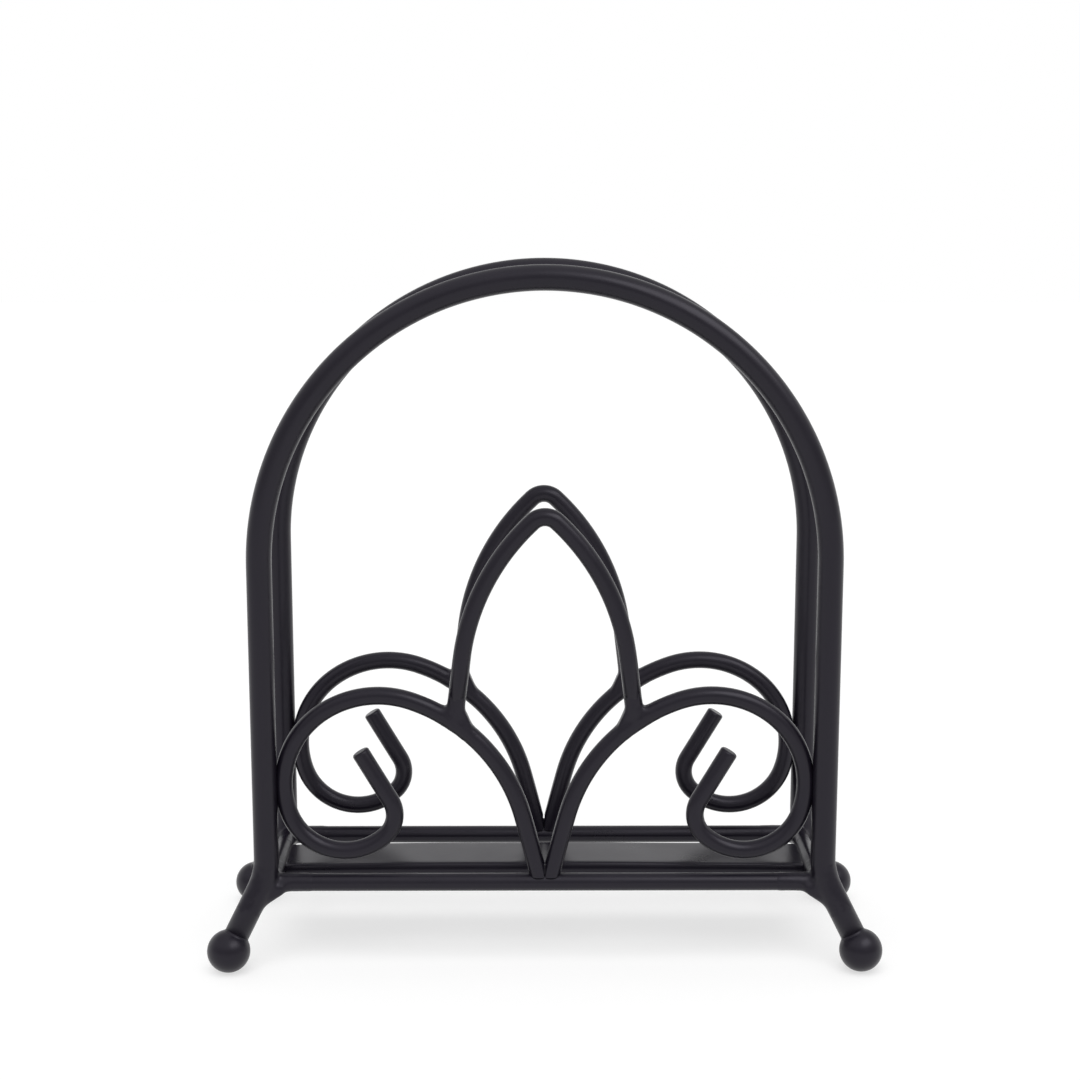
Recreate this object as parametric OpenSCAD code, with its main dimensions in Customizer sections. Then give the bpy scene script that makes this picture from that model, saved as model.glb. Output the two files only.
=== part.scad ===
// Tabletop napkin holder of welded steel wire under a black powder coat.
// Two arched hoops on ball feet carry a wire base frame, a folded tray and two scroll panels.
// X runs across the holder, Y from front to back and Z up.
// The origin lies on the table, under the middle of the holder.

/* [Hoops] */
// Height from the table to the top of the arch
hoop_height = 196; // [176:1:230]
// Width between the centrelines of a hoop's two uprights
hoop_span = 156; // [140:1:180]
// Depth between the centre planes of the front and rear hoops
hoop_spacing = 44; // [38:1:60]
// Diameter of the hoop rod
hoop_rod = 7; // [6:0.5:8]

/* [Legs and feet] */
// Height at which the axes of an upright and its leg cross
knee_height = 26.5; // [24:0.5:32]
// Radius of the knee bend, on the rod's centreline
knee_radius = 18; // [15:1:21]
// How far a ball stands out to the side of its upright
leg_spread = 10.4; // [7:0.2:15]
// How far a ball stands out in front of or behind its hoop
leg_splay = 5.7; // [3:0.1:9]
// Diameter of a ball foot
ball_size = 12; // [10:0.5:15]

/* [Base frame] */
// Diameter of the frame wire
frame_wire = 5; // [4:0.5:6]
// Height of the frame wire's centreline
frame_height = 23.5; // [21:0.5:28]
// How far the rails lie behind the centre plane of their hoop
frame_inset = 1.5; // [0.5:0.1:2.5]
// Radius of the frame's corners, on the wire's centreline
frame_corner = 4; // [3:0.5:6]

/* [Tray] */
// Depth of the tray, from its front edge to its rear edge
tray_depth = 18; // [14:1:24]
// How far the tray's top face lies above the centreline of the frame wire
tray_rise = 1; // [0:0.1:2]
// Thickness of the sheet
tray_sheet = 1; // [0.8:0.1:1.6]
// Height of the folded edges, top face included
tray_fold = 4.5; // [3:0.5:7]

/* [Scrolls] */
// Diameter of the scroll wire
scroll_wire = 5; // [4:0.5:6]
// Height above the rail at which the two scrolls of a panel meet
scroll_meet = 3; // [2:0.2:4]
// Clear width between the mitred feet of a panel's scrolls
scroll_foot_gap = 0.4; // [0.2:0.1:1]

/* [Lancets] */
// Diameter of the lancet wire
lancet_wire = 5; // [4:0.5:6]
// Height from the table to the top of a lancet
lancet_height = 130.2; // [118:0.2:150]
// Radius of the bend at the tip, on the wire's centreline
lancet_tip = 5; // [3:0.1:6]
// Length of the straight leg below the curved flank
lancet_leg = 18; // [12:0.2:26]
// Lean of the straight leg, in degrees from upright
lancet_lean = 7; // [3:0.5:10]
// Slope of the scroll where the lancet lands, in degrees from upright
lancet_landing = 55; // [45:1:65]

/* [Welds] */
// How far a welded wire sinks into the rod that it meets
weld_sink = 0.6; // [0.3:0.1:0.9]
// How far the frame's corners sink into the rods of the legs
corner_sink = 1.3; // [0.9:0.1:1.8]
// How far a weld stands out of the notch that it fills
weld_throat = 1; // [0.6:0.1:1.6]
// Width of a weld web, across the panel
weld_width = 3; // [2:0.2:3.6]
// Radius of a weld bead
bead_radius = 1; // [0.9:0.1:1.6]
// Length of the bead between a scroll and its upright
bead_length = 8; // [5:0.5:12]
// Length of a tack at the tray's ends
tack_length = 4; // [2:0.5:6]
// How far a corner web runs down the leg, below the frame wire
corner_web = 3.2; // [1.5:0.1:4]
// Height of the web between a panel's scroll feet
foot_web = 4; // [2:0.5:6]
// Radius of the bead round a leg where it meets the ball
ball_bead = 0.8; // [0.5:0.1:1.2]

/* [Hidden] */
$fn = 144;

coat = [0.17, 0.165, 0.185];
weld_coat = [0.22, 0.215, 0.235];
tray_coat = [0.27, 0.265, 0.28];
left = -1;
right = 1;
front = -1;
rear = 1;
level = 90;
downward = 180;
upward = 360;

// Runs of one wire stop a seam short of each other, and a ball a hair thicker than the wire joins them.
joint_seam = 0.1;
joint_swell = 0.02;

// Hoop: a half circle of rod on two uprights, which bend outward at the knee.
hoop_half = hoop_span / 2;
hoop_plane = hoop_spacing / 2;
spring_height = hoop_height - hoop_rod / 2 - hoop_half;
ball_radius = ball_size / 2;
leg_reach = norm([leg_spread, leg_splay]);
leg_drop = knee_height - ball_radius;
leg_length = norm([leg_reach, leg_drop]);
leg_turn = atan2(leg_splay, leg_spread);
knee_bend = atan2(leg_reach, leg_drop);
knee_tangent = knee_radius * tan(knee_bend / 2);
knee_top = knee_height + knee_tangent;
knee_bottom = knee_top - knee_radius * sin(knee_bend);
knee_start = [0, knee_top];
spring_point = [0, spring_height];
ball_point = [leg_reach, ball_radius];

// How far the leg's axis has moved out of the upright's line at a height
function leg_shift(height) =
    height >= knee_top ? 0 :
    height >= knee_bottom ? knee_radius - sqrt(pow(knee_radius, 2) - pow(knee_top - height, 2)) :
    (knee_height - height) * tan(knee_bend);
knee_end = [leg_shift(knee_bottom), knee_bottom];
function leg_lean(height) =
    height >= knee_top ? 0 :
    height >= knee_bottom ? asin((knee_top - height) / knee_radius) :
    knee_bend;
function leg_x(height) = hoop_half + leg_shift(height) * cos(leg_turn);
function leg_y(height) = hoop_plane + leg_shift(height) * sin(leg_turn);

// Base frame: its rounded corners sink into the leaning rods of the legs.
rail_plane = hoop_plane - frame_inset;
corner_y = rail_plane - frame_corner;
corner_reach = frame_corner + (frame_wire / 2 + hoop_rod / 2 - corner_sink) / cos(leg_lean(frame_height));
corner_x = leg_x(frame_height) - sqrt(pow(corner_reach, 2) - pow(leg_y(frame_height) - corner_y, 2));
side_rail = corner_x + frame_corner;

// Tray: an upturned pan whose ends sink slightly into the side rails.
tray_top = frame_height + tray_rise;
tray_half = side_rail - frame_wire / 2 + weld_sink;
tack_y = tray_depth / 4;

// Scroll: arcs of wire in a row, each turning clockwise from one heading to the next.
// A heading is in degrees from upright, and a radius is a share of the reach from foot to hoop.
scroll_headings = [13.5, 15.2, 71, 127, 199, 314, 390.5];
scroll_radius_shares = [8.56, 0.683, 0.388, 0.352, 0.231, 0.115];
scroll_tail_share = 0.231;
outer_arc = 3;
landing_arc = 1;
last_arc = len(scroll_radius_shares) - 1;
function turn_step(radius, from, to) = radius * [cos(from) - cos(to), sin(to) - sin(from)];
function total(list, last) = last < 0 ? 0 : list[last] + total(list, last - 1);
share_steps = [for (i = [0:outer_arc])
    turn_step(scroll_radius_shares[i], scroll_headings[i], min(scroll_headings[i + 1], downward))[0]];
foot_lean = scroll_headings[0];
scroll_start = [
    scroll_wire / 2 / cos(foot_lean) - (scroll_meet + weld_sink) * tan(foot_lean),
    frame_height + frame_wire / 2 - weld_sink
];
side_reach = hoop_rod / 2 + scroll_wire / 2 - weld_sink;
scroll_side = hoop_half - sqrt(pow(side_reach, 2) - pow(frame_inset, 2));
scroll_scale = (scroll_side - scroll_start[0]) / total(share_steps, outer_arc);
scroll_radii = scroll_scale * scroll_radius_shares;
scroll_tail = scroll_scale * scroll_tail_share;
function scroll_joint(i) =
    i == 0 ? scroll_start :
    scroll_joint(i - 1) + turn_step(scroll_radii[i - 1], scroll_headings[i - 1], scroll_headings[i]);
function scroll_centre(i) =
    scroll_joint(i) + scroll_radii[i] * [cos(scroll_headings[i]), -sin(scroll_headings[i])];
function along(heading) = [sin(heading), cos(heading)];
scroll_end = scroll_joint(last_arc + 1);
tail_end = scroll_end + scroll_tail * along(scroll_headings[last_arc + 1]);
side_height = scroll_joint(outer_arc)[1]
    + turn_step(scroll_radii[outer_arc], scroll_headings[outer_arc], downward)[1];

// Lancet: a small bend at the tip, two large flanks that run on from it and two straight legs.
landing = scroll_joint(landing_arc)
    + turn_step(scroll_radii[landing_arc], scroll_headings[landing_arc], lancet_landing);
tip_centre = [0, lancet_height - lancet_wire / 2 - lancet_tip];
flank_start = landing + lancet_leg * along(-lancet_lean);
flank_normal = [cos(lancet_lean), sin(lancet_lean)];
flank_gap = flank_start - tip_centre;
flank_radius = (flank_gap * flank_gap - pow(lancet_tip, 2)) / (2 * (flank_normal * flank_gap - lancet_tip));
flank_centre = flank_start - flank_radius * flank_normal;
tip_turn = atan2(tip_centre[0] - flank_centre[0], tip_centre[1] - flank_centre[1]);
tip_joint = tip_centre + lancet_tip * [sin(tip_turn), cos(tip_turn)];
mitre_block = 3 * max(lancet_wire, scroll_wire);

// Bead in the notch between an upright and a scroll, on the side of the napkins
function notch(a, a_reach, b, b_reach) =
    let (
        gap = norm(b - a),
        step = (pow(a_reach, 2) - pow(b_reach, 2) + pow(gap, 2)) / (2 * gap),
        rise = sqrt(pow(a_reach, 2) - pow(step, 2)),
        way = (b - a) / gap
    )
    a + step * way + rise * [-way[1], way[0]];
bead_hold = bead_radius - weld_sink;
tack_x = tray_half + bead_hold;
tack_height = frame_height - sqrt(pow(frame_wire / 2 + bead_hold, 2) - pow(side_rail - tack_x, 2));
side_bead = notch(
    [scroll_side, -rail_plane], scroll_wire / 2 + bead_hold,
    [hoop_half, -hoop_plane], hoop_rod / 2 + bead_hold
);
web_bottom = frame_height - frame_wire / 2 - corner_web;
ball_bead_reach = sqrt(pow(ball_radius, 2) - pow(hoop_rod / 2, 2));

// Draws its children, made for the front right, at another side and end
module at_corner(side, end) {
    mirror([side == left ? 1 : 0, 0, 0])
        mirror([0, end == rear ? 1 : 0, 0])
            children();
}

// Repeats its children at all four corners
module at_corners() {
    for (side = [left, right], end = [front, rear])
        at_corner(side, end)
            children();
}

// Arc of wire in the XZ plane, turning clockwise between two headings and a seam short of both
module wire_arc(centre, radius, from, to, wire) {
    trim = joint_seam / radius * downward / PI;
    translate([centre[0], 0, centre[1]])
        rotate([level, 0, 0])
            rotate([0, 0, downward - to + trim])
                rotate_extrude(angle = to - from - 2 * trim)
                    translate([radius, 0])
                        circle(d = wire);
}

// Straight wire between two points of the XZ plane and a seam short of both
module wire_rod(from, to, wire) {
    run = to - from;
    translate([from[0], 0, from[1]])
        rotate([0, atan2(run[0], run[1]), 0])
            translate([0, 0, joint_seam])
                cylinder(d = wire, h = norm(run) - 2 * joint_seam);
}

// Ball that joins two runs of wire along Z
module joint_ball(wire) {
    sphere(d = wire + 2 * joint_swell);
}

// Ball that joins two runs of wire at a point of the XZ plane, with its poles along their heading
module wire_joint(point, heading, wire) {
    translate([point[0], 0, point[1]])
        rotate([0, heading, 0])
            joint_ball(wire);
}

// Draws its children in the plane of the front right leg, with X along the leg's reach
module leg_frame() {
    translate([hoop_half, -hoop_plane, 0])
        rotate([0, 0, -leg_turn])
            children();
}

// Leg of the front right corner, from the knee to the middle of the ball
module leg() {
    leg_frame()
        wire_rod(knee_end, ball_point, hoop_rod);
}

// Upright, knee and leg of the front right corner
module upright() {
    leg_frame() {
        wire_joint(spring_point, downward, hoop_rod);
        wire_rod(spring_point, knee_start, hoop_rod);
        wire_joint(knee_start, downward, hoop_rod);
        wire_arc([knee_radius, knee_top], knee_radius, upward - knee_bend, upward, hoop_rod);
        wire_joint(knee_end, downward - knee_bend, hoop_rod);
    }
    leg();
}

// Ball of the front right corner
module ball() {
    translate([hoop_half + leg_spread, -hoop_plane - leg_splay, ball_radius])
        sphere(d = ball_size);
}

// One hoop, bent from a single rod and seated on its two balls
module hoop(end) {
    color(coat)
        difference() {
            union() {
                translate([0, end * hoop_plane, 0])
                    wire_arc(spring_point, hoop_half, 0, downward, hoop_rod);
                for (side = [left, right])
                    at_corner(side, end)
                        upright();
            }
            for (side = [left, right])
                at_corner(side, end)
                    ball();
        }
}

module ball_foot(side, end) {
    color(coat)
        at_corner(side, end)
            ball();
}

// Bend of the front right corner of the frame, with the joints at its two ends
module frame_bend() {
    translate([corner_x, -corner_y, frame_height]) {
        rotate([0, 0, -level])
            rotate_extrude(angle = level)
                translate([frame_corner, 0])
                    circle(d = frame_wire);
        translate([frame_corner, 0, 0])
            rotate([level, 0, 0])
                joint_ball(frame_wire);
        translate([0, -frame_corner, 0])
            rotate([0, level, 0])
                joint_ball(frame_wire);
    }
}

// Straight rail along Z, centred on the origin and a seam short of both ends
module rail(length) {
    cylinder(d = frame_wire, h = length - 2 * joint_seam, center = true);
}

// Right side rail of the frame
module side_rail_wire() {
    translate([side_rail, 0, frame_height])
        rotate([level, 0, 0])
            rail(2 * corner_y);
}

// Front rail of the frame
module front_rail() {
    translate([0, -rail_plane, frame_height])
        rotate([0, level, 0])
            rail(2 * corner_x);
}

// Closed rectangle of wire that joins the hoops
module frame_loop() {
    at_corners()
        frame_bend();
    for (end = [front, rear])
        at_corner(right, end)
            front_rail();
    for (side = [left, right])
        at_corner(side, front)
            side_rail_wire();
}

module base_frame() {
    color(coat)
        difference() {
            frame_loop();
            at_corners()
                upright();
        }
}

// Outer box of the tray
module tray_block() {
    translate([-tray_half, -tray_depth / 2, tray_top - tray_fold])
        cube([2 * tray_half, tray_depth, tray_fold]);
}

// Sheet pan, open below, that the napkins stand on
module base_tray() {
    color(tray_coat)
        difference() {
            tray_block();
            translate([
                tray_sheet - tray_half,
                tray_sheet - tray_depth / 2,
                tray_top - tray_sheet - tray_fold
            ])
                cube([2 * (tray_half - tray_sheet), tray_depth - 2 * tray_sheet, tray_fold]);
            for (side = [left, right])
                at_corner(side, front)
                    side_rail_wire();
        }
}

// One arc of the right scroll, in the XZ plane
module scroll_arc(i) {
    wire_arc(scroll_centre(i), scroll_radii[i], scroll_headings[i], scroll_headings[i + 1], scroll_wire);
}

// Whole wire of the right scroll, in the XZ plane
module scroll_path() {
    for (i = [0:last_arc]) {
        scroll_arc(i);
        wire_joint(scroll_joint(i + 1), scroll_headings[i + 1], scroll_wire);
    }
    wire_rod(scroll_end, tail_end, scroll_wire);
}

// Front right scroll, cut where it meets the rail and the upright, with its foot mitred to its twin's
module scroll_master() {
    difference() {
        translate([0, -rail_plane, 0])
            scroll_path();
        translate([scroll_foot_gap / 2 - mitre_block, -rail_plane - mitre_block / 2, frame_height])
            cube(mitre_block);
        front_rail();
        leg_frame()
            wire_rod(spring_point, knee_start, hoop_rod);
    }
}

module scroll(side, end) {
    color(coat)
        at_corner(side, end)
            scroll_master();
}

// Straight leg of a lancet, down to the middle of the scroll wire, in the XZ plane
module lancet_foot() {
    wire_rod(flank_start, landing, lancet_wire);
}

// Right half of a lancet in the XZ plane, with its leg mitred to sit on the scroll
module lancet_side() {
    wire_joint(tip_joint, level + tip_turn, lancet_wire);
    wire_arc(flank_centre, flank_radius, level + tip_turn, downward - lancet_lean, lancet_wire);
    wire_joint(flank_start, downward - lancet_lean, lancet_wire);
    difference() {
        lancet_foot();
        translate([landing[0], 0, landing[1]])
            rotate([0, lancet_landing - level, 0])
                translate([-mitre_block / 2, -mitre_block / 2, scroll_wire / 2 - weld_sink - mitre_block])
                    cube(mitre_block);
        scroll_arc(landing_arc);
    }
}

module lancet(end) {
    color(coat)
        translate([0, end * rail_plane, 0]) {
            wire_arc(tip_centre, lancet_tip, level - tip_turn, level + tip_turn, lancet_wire);
            for (side = [left, right])
                at_corner(side, front)
                    lancet_side();
        }
}

// Bead round the leg, in the notch between leg and ball
module ball_welds() {
    color(weld_coat)
        at_corners()
            difference() {
                leg_frame()
                    translate([0, 0, knee_height])
                        rotate([0, downward - knee_bend, 0])
                            translate([0, 0, leg_length - ball_bead_reach])
                                rotate_extrude()
                                    translate([hoop_rod / 2, 0])
                                        circle(r = ball_bead);
                leg();
                ball();
            }
}

// Web in the corner under the frame, between a rail and the leg
module corner_welds() {
    color(weld_coat)
        at_corners()
            difference() {
                translate([0, weld_width / 2 - leg_y(frame_height), 0])
                    rotate([level, 0, 0])
                        linear_extrude(weld_width)
                            polygon([
                                [corner_x, frame_height],
                                [leg_x(frame_height), frame_height],
                                [leg_x(web_bottom), web_bottom],
                                [leg_x(web_bottom) - hoop_rod / 2, web_bottom],
                                [corner_x, frame_height - frame_wire / 2]
                            ]);
                upright();
                frame_loop();
            }
}

// Tacks under the side rails that hold the folded ends of the tray
module tray_welds() {
    color(weld_coat)
        at_corners()
            difference() {
                translate([tack_x, -tack_y, tack_height])
                    rotate([level, 0, 0])
                        cylinder(r = bead_radius, h = tack_length, center = true);
                tray_block();
                side_rail_wire();
            }
}

// Thin web between the two mitred feet of a panel, on the rail
module scroll_foot_welds() {
    color(weld_coat)
        for (end = [front, rear])
            at_corner(right, end)
                difference() {
                    translate([-scroll_foot_gap / 2, -rail_plane - weld_width / 2, scroll_start[1]])
                        cube([scroll_foot_gap, weld_width, foot_web]);
                    front_rail();
                }
}

// Bead between a scroll and its upright, on the side of the napkins
module scroll_side_welds() {
    color(weld_coat)
        at_corners()
            difference() {
                translate([side_bead[0], side_bead[1], side_height - bead_length / 2])
                    cylinder(r = bead_radius, h = bead_length);
                translate([0, -rail_plane, 0])
                    scroll_arc(outer_arc);
                leg_frame()
                    wire_rod(spring_point, knee_start, hoop_rod);
            }
}

// Triangle with its corner at a point and its two arms along two headings
module weld_web(point, from, to, wire) {
    half = (to - from) / 2;
    arm = (wire / 2 / sin(half) + weld_throat) / cos(half);
    translate([0, weld_width / 2, 0])
        rotate([level, 0, 0])
            linear_extrude(weld_width)
                polygon([point, point + arm * along(from), point + arm * along(to)]);
}

// Webs on both sides of each lancet leg, where it lands on its scroll
module lancet_welds() {
    $fn = 240;
    color(weld_coat)
        at_corners()
            translate([0, -rail_plane, 0])
                difference() {
                    union() {
                        weld_web(landing, -lancet_lean, lancet_landing, lancet_wire);
                        weld_web(landing, lancet_landing - downward, -lancet_lean, lancet_wire);
                    }
                    lancet_foot();
                    scroll_arc(landing_arc);
                }
}

hoop(front);  // front_hoop
hoop(rear);  // rear_hoop
ball_foot(left, front);  // front_left_ball_foot
ball_foot(right, front);  // front_right_ball_foot
ball_foot(left, rear);  // rear_left_ball_foot
ball_foot(right, rear);  // rear_right_ball_foot
base_frame();
base_tray();
scroll(left, front);  // front_left_scroll
scroll(right, front);  // front_right_scroll
scroll(left, rear);  // rear_left_scroll
scroll(right, rear);  // rear_right_scroll
lancet(front);  // front_lancet
lancet(rear);  // rear_lancet
ball_welds();
corner_welds();
tray_welds();
scroll_foot_welds();
scroll_side_welds();
lancet_welds();
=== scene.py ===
# %% [markdown]
# # A wire napkin holder
# The holder stands on a table and keeps folded paper napkins upright between two wire panels.
# It is bent from steel rod and wire, welded together and powder coated in satin black.
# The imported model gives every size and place. This script lays smooth, finished pieces over it.

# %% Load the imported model
import math

import bmesh
import bpy
from mathutils import Matrix, Vector, noise


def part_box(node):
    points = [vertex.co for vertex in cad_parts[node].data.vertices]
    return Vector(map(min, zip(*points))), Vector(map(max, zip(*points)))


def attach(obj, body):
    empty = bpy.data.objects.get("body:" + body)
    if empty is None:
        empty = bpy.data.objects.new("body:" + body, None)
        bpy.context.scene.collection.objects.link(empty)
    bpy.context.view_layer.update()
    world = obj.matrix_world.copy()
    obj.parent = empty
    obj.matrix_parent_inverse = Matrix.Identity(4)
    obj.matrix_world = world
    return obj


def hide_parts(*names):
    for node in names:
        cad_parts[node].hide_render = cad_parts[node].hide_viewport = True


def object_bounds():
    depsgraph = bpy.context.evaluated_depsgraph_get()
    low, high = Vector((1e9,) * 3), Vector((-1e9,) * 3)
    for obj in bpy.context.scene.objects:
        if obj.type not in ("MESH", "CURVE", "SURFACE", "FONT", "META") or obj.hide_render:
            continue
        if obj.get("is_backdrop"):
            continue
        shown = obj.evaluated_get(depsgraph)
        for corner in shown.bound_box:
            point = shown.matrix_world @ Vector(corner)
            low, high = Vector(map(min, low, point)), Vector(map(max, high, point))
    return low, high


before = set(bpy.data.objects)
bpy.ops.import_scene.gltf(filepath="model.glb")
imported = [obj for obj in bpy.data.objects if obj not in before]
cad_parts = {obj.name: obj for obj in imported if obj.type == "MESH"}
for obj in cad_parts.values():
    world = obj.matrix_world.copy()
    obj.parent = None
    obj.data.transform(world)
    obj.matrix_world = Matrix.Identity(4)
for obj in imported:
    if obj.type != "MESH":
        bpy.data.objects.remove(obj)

MM = 0.001
X, Y, Z = Vector((1, 0, 0)), Vector((0, 1, 0)), Vector((0, 0, 1))


def in_mm(lengths):
    return [round(length / MM, 1) for length in lengths]


cad_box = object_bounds()
print("nodes:", len(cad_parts), "box:", [in_mm(corner) for corner in cad_box], "mm")

# %% [markdown]
# ## From bmesh to a finished piece
# A bmesh is a scratch mesh that operators work on. When its shape is done, doubled points are merged,
# the faces are turned outwards and the result becomes an object. The object stays at the origin, so a
# pattern on Object coordinates sits where the piece is. Each piece then rides on the holder's one body
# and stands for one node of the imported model.

# %% Finish a mesh and hang it on the holder
MERGE_DISTANCE = 0.002 * MM
pieces = []


def add_object(name, data):
    added = bpy.data.objects.new(name, data)
    bpy.context.scene.collection.objects.link(added)
    return added


def to_object(name, bm):
    bmesh.ops.remove_doubles(bm, verts=bm.verts, dist=MERGE_DISTANCE)
    bmesh.ops.recalc_face_normals(bm, faces=bm.faces)
    mesh = bpy.data.meshes.new(name)
    bm.to_mesh(mesh)
    bm.free()
    mesh.shade_smooth()
    return add_object(name, mesh)


def hang(piece, slot, node):
    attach(piece, "root")
    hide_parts(node)
    pieces.append((piece, slot))
    print(piece.name, "stands for", node, "with", len(piece.data.polygons), "faces")


def mirrored(bm, side, end):
    bmesh.ops.scale(bm, vec=(side, end, 1), verts=bm.verts)
    return bm


LEFT, RIGHT, FRONT, REAR = -1, 1, 1, -1
SIDES = {"left": LEFT, "right": RIGHT}
ENDS = {"front": FRONT, "rear": REAR}
print("everything is drawn at the front right and mirrored to the other corners")

# %% [markdown]
# ## Ends and edges
# An operator hands back all that it made in one list, so two helpers pick out the edges and the points. The
# end of a wire is closed with one face. Where the end shows, a bevel rounds its rim, and an inset before it
# keeps the middle of the face out of the bevel, so that it stays flat.

# %% Close and round an end
ROUND_SEGMENTS = 5
CUT_INSET = 1.6


def edges_of(geom):
    return [part for part in geom if isinstance(part, bmesh.types.BMEdge)]


def verts_of(geom):
    return [part for part in geom if isinstance(part, bmesh.types.BMVert)]


def everything(bm):
    return bm.verts[:] + bm.edges[:] + bm.faces[:]


def round_edges(bm, edges, width):
    bmesh.ops.bevel(bm, geom=edges, offset=width, offset_type="OFFSET", affect="EDGES",
                    segments=ROUND_SEGMENTS, profile=0.5, material=-1)


def close_end(bm, rim, rounding=0):
    faces = bmesh.ops.edgeloop_fill(bm, edges=rim)["faces"]
    if rounding:
        bmesh.ops.inset_individual(bm, faces=faces, thickness=CUT_INSET * rounding)
        round_edges(bm, rim, rounding)


print("rounded edges have", ROUND_SEGMENTS, "segments")

# %% [markdown]
# ## A bending bench for wire
# Every rod of the holder is one wire, bent step by step. The bench below works in the same way: a wire is
# a ring of edges that grows out of its open end. A straight run extrudes the ring, and a bend spins it
# round the centre of the bend. A curve object with a round profile could do this too, but with the spin
# each bend has its true radius, and the rings of two runs are the same, so no seam shows.

# %% Wire that grows from its open end
WIRE_SIDES = 48
BEND_STEP = math.radians(2)
RING_GAP = 2 * MM
LEAST_STEPS = 2
QUARTER_TURN, HALF_TURN, FULL_TURN = math.pi / 2, math.pi, 2 * math.pi


class Wire:
    def __init__(self, start, direction, diameter):
        self.bm = bmesh.new()
        self.point = Vector(start)
        self.direction = Vector(direction).normalized()
        turn = self.direction.to_track_quat("Z", "Y").to_matrix().to_4x4()
        place = Matrix.Translation(self.point) @ turn
        bmesh.ops.create_circle(self.bm, segments=WIRE_SIDES, radius=diameter / 2, matrix=place)
        self.start_ring = self.bm.edges[:]
        self.ring = self.start_ring

    def run(self, length):
        made = bmesh.ops.extrude_edge_only(self.bm, edges=self.ring)["geom"]
        self.ring = edges_of(made)
        step = self.direction * length
        bmesh.ops.translate(self.bm, verts=verts_of(made), vec=step)
        self.point = self.point + step
        return self

    def bend(self, axis, radius, angle):
        centre = self.point + radius * axis.cross(self.direction)
        corners = list(dict.fromkeys(vert for edge in self.ring for vert in edge.verts))
        by_angle = math.ceil(abs(angle) / BEND_STEP)
        by_length = math.ceil(abs(angle) * radius / RING_GAP)
        made = bmesh.ops.spin(self.bm, geom=corners + self.ring, cent=centre, axis=axis, angle=angle,
                              steps=max(LEAST_STEPS, by_angle, by_length))
        self.ring = edges_of(made["geom_last"])
        turn = Matrix.Rotation(angle, 3, axis)
        self.point = centre + turn @ (self.point - centre)
        self.direction = turn @ self.direction
        return self

    def cut(self, end_rounding=0):
        close_end(self.bm, self.start_ring)
        close_end(self.bm, self.ring, end_rounding)
        return self.bm

    def cut_and_mirror(self):
        close_end(self.bm, self.ring)
        bmesh.ops.mirror(self.bm, geom=everything(self.bm), matrix=Matrix.Identity(4),
                         merge_dist=MERGE_DISTANCE, axis="X")
        return self.bm


print("the bench bends", WIRE_SIDES, "sided wire in steps of", round(math.degrees(BEND_STEP)), "degrees")

# %% [markdown]
# ## The two hoops
# A hoop is one 7 mm rod: a half circle on two uprights, which bend outwards at the knee and end in the
# ball feet. One half is bent from the top of the arch down to the ball, and a mirror makes the other half.
# The knee bends out of the hoop's plane, so its axis is square to the upright and to the leg's direction.

# %% Bend the hoops
HOOP_HEIGHT = 196 * MM
HOOP_HALF = 78 * MM
HOOP_PLANE = 22 * MM
HOOP_ROD = 7 * MM
KNEE_HEIGHT = 26.5 * MM
KNEE_RADIUS = 18 * MM
LEG_SPREAD = 10.4 * MM
LEG_SPLAY = 5.7 * MM
BALL_RADIUS = 6 * MM

spring_height = HOOP_HEIGHT - HOOP_ROD / 2 - HOOP_HALF
leg_out = Vector((LEG_SPREAD, -LEG_SPLAY, 0))
leg_drop = KNEE_HEIGHT - BALL_RADIUS
knee_bend = math.atan2(leg_out.length, leg_drop)
knee_tangent = KNEE_RADIUS * math.tan(knee_bend / 2)
knee_top = KNEE_HEIGHT + knee_tangent
knee_axis = (-Z).cross(leg_out.normalized())
leg_length = math.hypot(leg_out.length, leg_drop)


def bend_hoop():
    wire = Wire((0, -HOOP_PLANE, spring_height + HOOP_HALF), X, HOOP_ROD)
    wire.bend(Y, HOOP_HALF, QUARTER_TURN)
    wire.run(spring_height - knee_top)
    wire.bend(knee_axis, KNEE_RADIUS, knee_bend)
    wire.run(leg_length - knee_tangent)
    return wire.cut_and_mirror()


for end_name, end in ENDS.items():
    hoop = to_object(f"{end_name}_hoop_rod", mirrored(bend_hoop(), RIGHT, end))
    hang(hoop, "coated_rod", f"{end_name}_hoop")
print("knee bends by", round(math.degrees(knee_bend), 1), "degrees")

# %% [markdown]
# ## Ball feet
# Each leg ends in a 12 mm steel ball. A ball made from a round profile can have its poles anywhere, so
# here they lie on the leg's axis, where the rod hides one of them. A vertex at the pole is spun into a half
# circle, and the half circle is spun into the ball. The full spin merges its last profile with its first.

# %% Turn the balls
BALL_STEPS = 36
ball_centre = Vector((HOOP_HALF + LEG_SPREAD, -HOOP_PLANE - LEG_SPLAY, BALL_RADIUS))
leg_axis = (leg_out - leg_drop * Z).normalized()
leg_side = leg_axis.cross(Z).normalized()


def turn_round_leg(bm):
    bmesh.ops.spin(bm, geom=bm.verts[:] + bm.edges[:], cent=ball_centre, axis=leg_axis,
                   angle=FULL_TURN, steps=2 * BALL_STEPS, use_merge=True)
    return bm


def turn_ball():
    bm = bmesh.new()
    pole = bm.verts.new(ball_centre + leg_axis * BALL_RADIUS)
    bmesh.ops.spin(bm, geom=[pole], cent=ball_centre, axis=leg_side, angle=HALF_TURN, steps=BALL_STEPS)
    return turn_round_leg(bm)


for end_name, end in ENDS.items():
    for side_name, side in SIDES.items():
        ball = to_object(f"{end_name}_{side_name}_foot_ball", mirrored(turn_ball(), side, end))
        hang(ball, "coated_ball", f"{end_name}_{side_name}_ball_foot")

# %% [markdown]
# ## The base frame
# A rectangle of 5 mm wire with rounded corners joins the two hoops. It is bent round all four corners, and
# its last ring lands on its first, so merging the doubles closes it without a seam.

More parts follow.
